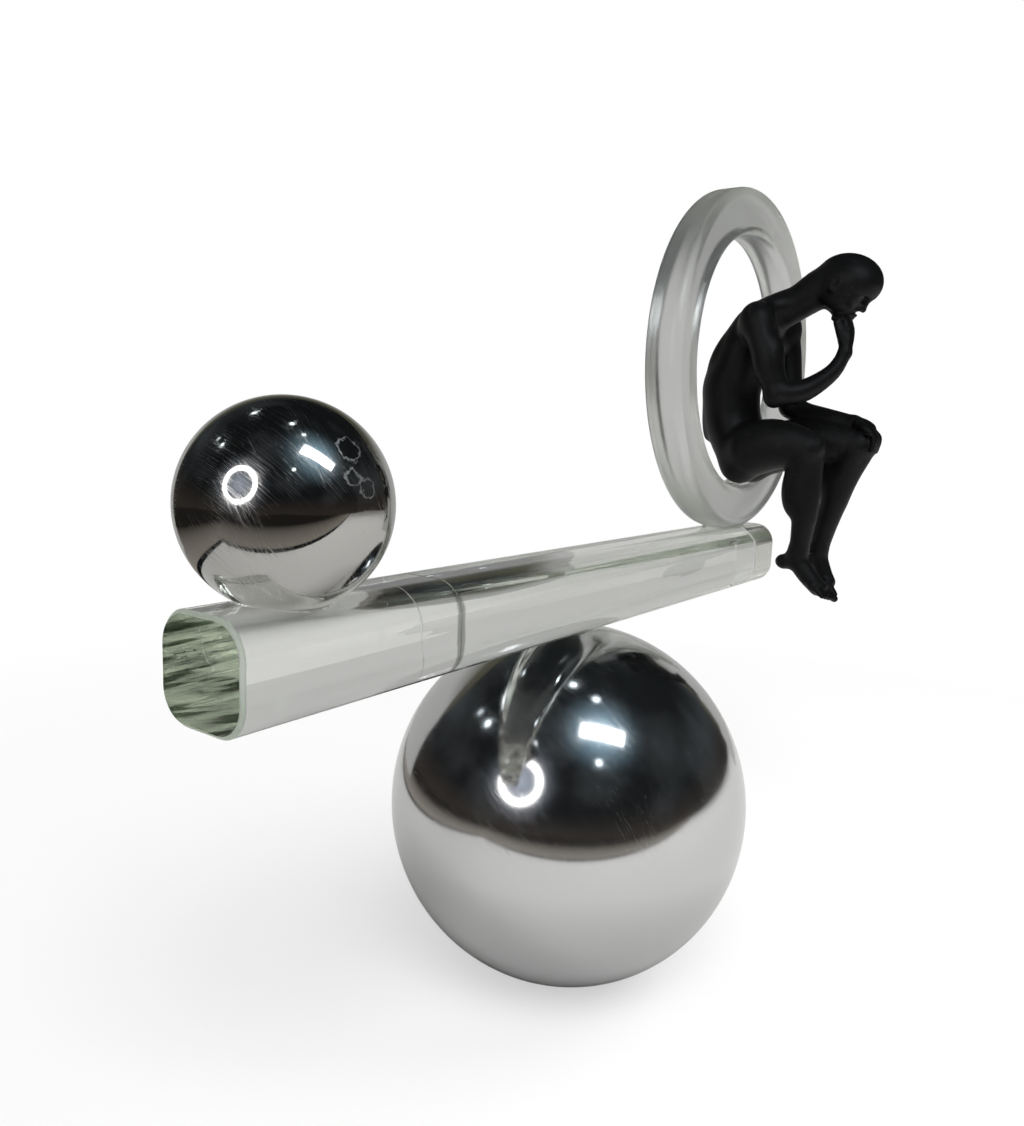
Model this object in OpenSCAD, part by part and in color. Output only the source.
// Desk ornament: a glass bar lies across a polished steel ball. A small steel ball sits on its near
// end, and a glass ring with a seated figure stands on its far end. Everything is glued.
// The origin is the middle of the foot's flat underside. +X runs along the bar towards the ring,
// and the figure faces -Y.

/* [Base ball] */
// Diameter of the large hollow ball
base_d = 100; // [84:1:120]
// Wall thickness of the hollow ball
base_wall = 1; // [0.8:0.1:1.6]
// Depth of the mineral filling above the foot flat
ballast_h = 40; // [24:1:46]

/* [Foot] */
// Diameter of the flat at the bottom of the ball
foot_flat_d = 30; // [26:1:33]
// Diameter of the steel disc inside the ball
foot_disc_d = 32; // [28:1:36]
// Thickness of the steel disc
foot_disc_t = 4; // [3:0.5:6]
// Diameter of the rubber pad
foot_pad_d = 26; // [24:1:28]
// Thickness of the rubber pad
foot_pad_t = 0.8; // [0.6:0.1:1.2]

/* [Bar] */
// Width of the bar across its section
bar_w = 23; // [20:0.5:26]
// Height of the bar's section
bar_h = 21.5; // [19:0.5:25]
// Radius of the section's rounded corners
bar_corner_r = 7; // [5:0.5:8]
// Bevel around each end face
bar_bevel = 0.8; // [0.4:0.1:1.2]
// Length of the bar from the middle of the large ball to the near end
bar_near_l = 122; // [118:1:140]
// Length of the bar from the middle of the large ball to the far end
bar_far_l = 120; // [112:1:140]
// Distance of the glued seam from the middle of the large ball
seam_x = 65; // [50:1:72]
// Thickness of the adhesive in the seam
seam_gap = 0.4; // [0.2:0.1:0.8]
// Depth of the unfilled groove around the seam
seam_recess = 0.2; // [0.1:0.05:0.3]

/* [Contacts] */
// Thickness of the adhesive films
glue_t = 0.15; // [0.1:0.05:0.3]
// Diameter of the adhesive bead on the large ball
base_bead_d = 8.4; // [5:0.1:8.8]

/* [Counterweight] */
// Diameter of the small solid ball
weight_d = 40; // [34:0.5:42]
// Distance of the small ball from the middle of the large ball
weight_x = 103; // [96:0.5:106]
// Depth of the round seat ground into the bar
weight_seat_h = 2.4; // [1.6:0.1:3]
// Diameter of the adhesive in that seat
weight_glue_d = 13; // [8:0.5:14]

/* [Ring] */
// Outer diameter of the ring
ring_d = 116; // [106:1:122]
// Diameter of the hole in the ring
ring_hole_d = 85; // [80:1:90]
// Thickness of the ring from face to face
ring_t = 12.5; // [11:0.5:15]
// Radius of the ring's rounded edges
ring_edge_r = 1.8; // [1:0.1:2.4]
// Distance of the ring from the middle of the large ball
ring_x = 99.5; // [90:0.5:104]
// Depth of the flat ground on the ring where it stands
ring_flat_h = 0.4; // [0.2:0.1:0.8]

/* [Figure] */
// Height of the figure from its seat to the top of its head
figure_h = 78; // [70:1:82]
// Width of the figure's flat seat
figure_seat_w = 9; // [7:0.5:10]
// Depth of the figure's flat seat from front to back
figure_seat_l = 6; // [5:0.5:7]
// Distance of the seat's middle in front of the ring's middle plane
figure_seat_y = 4.6; // [3.6:0.1:5]
// Thickness of the adhesive under the seat
figure_glue_t = 0.45; // [0.35:0.05:0.8]

/* [Hidden] */

steel = [0.62, 0.62, 0.63];
clear = [0.86, 0.92, 0.89];
glue = [0.95, 0.95, 0.88];

// Large ball: its flat stands on the pad, so its middle follows from the flat's diameter
base_r = base_d / 2;
base_in_r = base_r - base_wall;
foot_flat_r = foot_flat_d / 2;
flat_z = foot_pad_t;
base_cz = flat_z + sqrt(base_r * base_r - foot_flat_r * foot_flat_r);

// Bar: it lies on the top of the ball with one film of adhesive between
bar_z0 = base_cz + base_r + glue_t;
bar_z1 = bar_z0 + bar_h;
bar_flat_w = bar_w - 2 * bar_corner_r;
seam_front_x = -seam_x - seam_gap / 2;
seam_rear_x = -seam_x + seam_gap / 2;

// Small ball
weight_r = weight_d / 2;
weight_cz = bar_z1 + weight_r - weight_seat_h;

// Ring: its ground flat stands on the bar with one film of adhesive between
ring_r = ring_d / 2;
ring_hole_r = ring_hole_d / 2;
ring_cz = bar_z1 + glue_t + ring_r - ring_flat_h;
ring_flat_l = 2 * sqrt(ring_r * ring_r - (ring_r - ring_flat_h) * (ring_r - ring_flat_h));
ring_flat_w = ring_t - 2 * ring_edge_r;

// Figure: its seat is the zero of its own frame, and its points are given for the drawn height
figure_drawn_h = 78;
figure_k = figure_h / figure_drawn_h;
seat_z = ring_cz - ring_hole_r + figure_glue_t;
seat_flat_h = 0.4;
seat_glue_inset = 0.9;

// Facets of the steel and glass, of the thin films, and of the body's rounds from large to small
round_fn = 96;
film_fn = 720;
edge_fn = 48;
ring_fn = 180;
body_fn = 26;
limb_fn = 18;
digit_fn = 14;
big = 2 * base_d;

// Joints of the body at the drawn height, each [x, y, z, radius]; the right side is at -X
right_leg = [
    [-6.3, -11, 12.4, 9.8], [-7.4, -19, 14, 9], [-8, -29.7, 13.4, 6.5], [-7.6, -30.4, 1, 6],
    [-7, -30.6, -14.5, 4.4], [-6.6, -30, -22, 3.7]
];
left_leg = [
    [6.3, -11, 12.4, 9.8], [7.8, -25, 14, 8.4], [8.6, -43.4, 15, 6.2], [8.4, -36.7, 3, 5.7],
    [7.6, -32.4, -14, 4.4], [7, -32.4, -22, 3.8]
];
right_foot = [
    [-6.6, -30, -22, 3.7], [-6.5, -27.8, -24.8, 3], [-6.9, -38.2, -31.9, 3], [-7.1, -42.2, -34.4, 2.4]
];
left_foot = [
    [7, -32.4, -22, 3.8], [6.8, -28.6, -25.4, 2.9], [7.2, -36.2, -32, 2.9], [7.4, -38.8, -35.2, 2.3]
];
right_arm = [
    [-12.8, -12, 55.4, 6], [-14, -16, 44.5, 5], [-12.6, -20.7, 31, 4.9],
    [-8.4, -29.3, 33.4, 3.8], [-4.8, -37, 40, 2.7], [-3.4, -38.8, 45, 2.3]
];
left_arm = [
    [12.8, -12, 55.4, 6], [14.4, -13.6, 43, 5], [12.5, -17, 27.4, 4.6], [11.4, -27, 23.8, 4.3],
    [10.2, -35, 23.2, 3.5], [9.2, -40, 22.8, 2.9]
];
right_palm = [[-3.4, -38.8, 45, 2.3], [-2.6, -38.4, 49, 2.8], [-1.4, -37, 53.2, 2.9]];
left_palm = [[9.2, -40, 22.8, 2.9], [8.6, -43.6, 21.7, 3.1], [8, -46.8, 19, 2.8]];
neck = [[0, -13, 58.6, 7], [0, -20.5, 61.8, 6], [0, -27.5, 66.2, 7]];

// Four fingers of a hand, each [root, tip, spacing, radius], thinner by the taper at the tip
right_fingers = [[-0.8, -38.2, 54.6], [-0.2, -35, 56.4], 1.5, 1.1];
left_fingers = [[8, -47.4, 18], [7.8, -48, 14], 1.7, 1.2];
finger_taper = 0.8;

// Cross-sections of the trunk, each [y, z, half width, half depth, half height]
trunk = [
    [-5, 12.5, 12.5, 8.7, 8], [-0.3, 22, 11.2, 9.2, 8.4], [1, 34, 12.4, 9.5, 9],
    [-3.3, 46, 13.4, 8.8, 9], [-8.4, 55.2, 12.4, 7.4, 6.6]
];

// Buttocks [x, y, z, radius], and the head's rounds, each [centre, half sizes, pitch]
buttock = [5.5, -7.2, 6.6, 6.3];
cranium = [[0, -37.3, 68.4], [8.2, 10.9, 8.5], 15];
face = [[0, -39.5, 65.6], [6.6, 7.4, 6.8], 35];
chin = [0, -36.6, 58.4, 2.5];
nose = [[0, -45.6, 65, 0.9], [0, -44.2, 61.8, 1.3]];

module bar_slice(x0, x1, inset) {
    for (sy = [-1, 1], sz = [-1, 1])
        translate([x0, sy * (bar_w / 2 - bar_corner_r), 0])
            translate([0, 0, bar_z0 + bar_h / 2 + sz * (bar_h / 2 - bar_corner_r)])
                rotate([0, 90, 0])
                    cylinder(r = bar_corner_r - inset, h = x1 - x0, $fn = edge_fn);
}

module bar_length(x0, x1) {
    hull() {
        bar_slice(x0, x1, bar_bevel);
        bar_slice(x0 + bar_bevel, x1 - bar_bevel, 0);
    }
}

module base_shell_lower() {
    color(steel)
        difference() {
            translate([0, 0, base_cz]) sphere(r = base_r, $fn = round_fn);
            translate([0, 0, base_cz]) sphere(r = base_in_r, $fn = round_fn);
            translate([-big / 2, -big / 2, base_cz]) cube(big);
            translate([-big / 2, -big / 2, flat_z - big]) cube(big);
        }
}

module base_shell_upper() {
    color(steel)
        difference() {
            translate([0, 0, base_cz]) sphere(r = base_r, $fn = round_fn);
            translate([0, 0, base_cz]) sphere(r = base_in_r, $fn = round_fn);
            translate([-big / 2, -big / 2, base_cz - big]) cube(big);
        }
}

module base_ballast() {
    color([0.6, 0.58, 0.54])
        difference() {
            translate([0, 0, base_cz]) sphere(r = base_in_r, $fn = round_fn);
            translate([-big / 2, -big / 2, flat_z + ballast_h]) cube(big);
            translate([0, 0, flat_z - base_r])
                cylinder(d = foot_disc_d, h = base_r + foot_disc_t, $fn = round_fn);
            translate([-big / 2, -big / 2, flat_z - big]) cube(big);
        }
}

module base_foot_disc() {
    color([0.5, 0.5, 0.52])
        intersection() {
            translate([0, 0, base_cz]) sphere(r = base_in_r, $fn = round_fn);
            translate([0, 0, flat_z]) cylinder(d = foot_disc_d, h = foot_disc_t, $fn = round_fn);
        }
}

module base_foot_pad() {
    color([0.08, 0.08, 0.08]) cylinder(d = foot_pad_d, h = foot_pad_t, $fn = round_fn);
}

module base_adhesive() {
    color(glue)
        translate([0, 0, base_cz])
            rotate_extrude($fn = round_fn)
                difference() {
                    translate([0, base_r - base_wall]) square([base_bead_d / 2, base_wall + glue_t]);
                    circle(r = base_r, $fn = film_fn);
                }
}

module bar_front() {
    color(clear)
        difference() {
            bar_length(-bar_near_l, seam_front_x);
            translate([-weight_x, 0, weight_cz]) sphere(r = weight_r + glue_t, $fn = round_fn);
        }
}

module bar_rear() {
    color(clear) bar_length(seam_rear_x, bar_far_l);
}

module bar_joint_adhesive() {
    // The ends of the two lengths shape the film, which runs out into their bevels
    end_l = 4 * bar_bevel;
    color(glue)
        difference() {
            hull() bar_slice(seam_front_x - bar_bevel, seam_rear_x + bar_bevel, seam_recess);
            bar_length(seam_front_x - end_l, seam_front_x);
            bar_length(seam_rear_x, seam_rear_x + end_l);
        }
}

module counterweight_ball() {
    color(steel) translate([-weight_x, 0, weight_cz]) sphere(r = weight_r, $fn = round_fn);
}

module counterweight_adhesive() {
    color(glue)
        translate([-weight_x, 0, weight_cz])
            difference() {
                intersection() {
                    sphere(r = weight_r + glue_t, $fn = round_fn);
                    translate([0, 0, -2 * weight_r])
                        cylinder(d = weight_glue_d, h = 2 * weight_r, $fn = round_fn);
                }
                sphere(r = weight_r, $fn = round_fn);
            }
}

module ring_section() {
    section_w = ring_r - ring_hole_r;
    translate([ring_hole_r + ring_edge_r, -ring_t / 2])
        square([section_w - 2 * ring_edge_r, ring_t]);
    translate([ring_hole_r, -ring_t / 2 + ring_edge_r])
        square([section_w, ring_t - 2 * ring_edge_r]);
    for (sx = [ring_hole_r + ring_edge_r, ring_r - ring_edge_r], sy = [-1, 1])
        translate([sx, sy * (ring_t / 2 - ring_edge_r)]) circle(r = ring_edge_r, $fn = edge_fn);
}

module glass_ring() {
    color(clear)
        difference() {
            translate([ring_x, 0, ring_cz]) rotate([90, 0, 0]) rotate_extrude($fn = ring_fn) ring_section();
            translate([ring_x - ring_r, -ring_t, bar_z1 + glue_t - ring_t])
                cube([ring_d, 2 * ring_t, ring_t]);
        }
}

module ring_adhesive() {
    film_w = min(ring_flat_w, bar_flat_w);
    color(glue)
        translate([ring_x - ring_flat_l / 2, -film_w / 2, bar_z1]) cube([ring_flat_l, film_w, glue_t]);
}

// Balls at a list of joints, each [x, y, z, radius]
module balls(joints, fn) {
    for (j = joints)
        translate([j[0], j[1], j[2]]) sphere(r = j[3], $fn = fn);
}

// A limb: each ball is hulled to the next
module limb(joints, fn) {
    for (i = [0:len(joints) - 2])
        hull() balls([joints[i], joints[i + 1]], fn);
}

module trunk_slice(s) {
    translate([0, s[0], s[1]]) scale([s[2], s[3], s[4]]) sphere(r = 1, $fn = body_fn);
}

module trunk_length() {
    for (i = [0:len(trunk) - 2])
        hull() {
            trunk_slice(trunk[i]);
            trunk_slice(trunk[i + 1]);
        }
}

module seat() {
    hull() {
        balls([buttock], body_fn);
        mirror([1, 0, 0]) balls([buttock], body_fn);
        trunk_slice(trunk[0]);
        translate([0, -figure_seat_y / figure_k, 0])
            scale([figure_seat_w, figure_seat_l, 1] / figure_k)
                cylinder(d = 1, h = seat_flat_h, $fn = body_fn);
    }
}

module head_round(part) {
    translate(part[0]) rotate([part[2], 0, 0]) scale(part[1]) sphere(r = 1, $fn = body_fn);
}

module head() {
    head_round(cranium);
    hull() {
        head_round(face);
        balls([chin], limb_fn);
    }
    hull() balls(nose, digit_fn);
}

// Ankle, heel and ball of the foot in one hull, then the toes
module foot(joints) {
    hull() balls([joints[0], joints[1], joints[2]], limb_fn);
    hull() balls([joints[2], joints[3]], limb_fn);
}

module fingers(hand) {
    for (i = [-1.5:1:1.5])
        hull() {
            translate(hand[0] + [hand[2] * i, 0, 0]) sphere(r = hand[3], $fn = digit_fn);
            translate(hand[1] + [hand[2] * i * finger_taper, 0, 0])
                sphere(r = hand[3] * finger_taper, $fn = digit_fn);
        }
}

module figure() {
    color([0.06, 0.06, 0.065])
        translate([ring_x, 0, seat_z])
            scale(figure_k) {
                seat();
                trunk_length();
                limb(neck, body_fn);
                head();
                for (joints = [right_leg, left_leg, right_arm, left_arm, right_palm, left_palm])
                    limb(joints, limb_fn);
                foot(right_foot);
                foot(left_foot);
                fingers(right_fingers);
                fingers(left_fingers);
            }
}

module figure_adhesive() {
    pad_front = min(figure_seat_y + figure_seat_l / 2, ring_flat_w / 2) - glue_t;
    pad_back = figure_seat_y - figure_seat_l / 2 + glue_t;
    pad_w = figure_seat_w - 2 * seat_glue_inset;
    color(glue)
        intersection() {
            translate([ring_x - pad_w / 2, -pad_front, seat_z - 2 * figure_glue_t])
                cube([pad_w, pad_front - pad_back, 2 * figure_glue_t]);
            translate([ring_x, ring_t / 2, ring_cz])
                rotate([90, 0, 0]) cylinder(r = ring_hole_r, h = ring_t, $fn = film_fn);
        }
}

base_shell_lower();
base_shell_upper();
base_ballast();
base_foot_disc();
base_foot_pad();
base_adhesive();
bar_front();
bar_rear();
bar_joint_adhesive();
counterweight_ball();
counterweight_adhesive();
glass_ring();
ring_adhesive();
figure();
figure_adhesive();
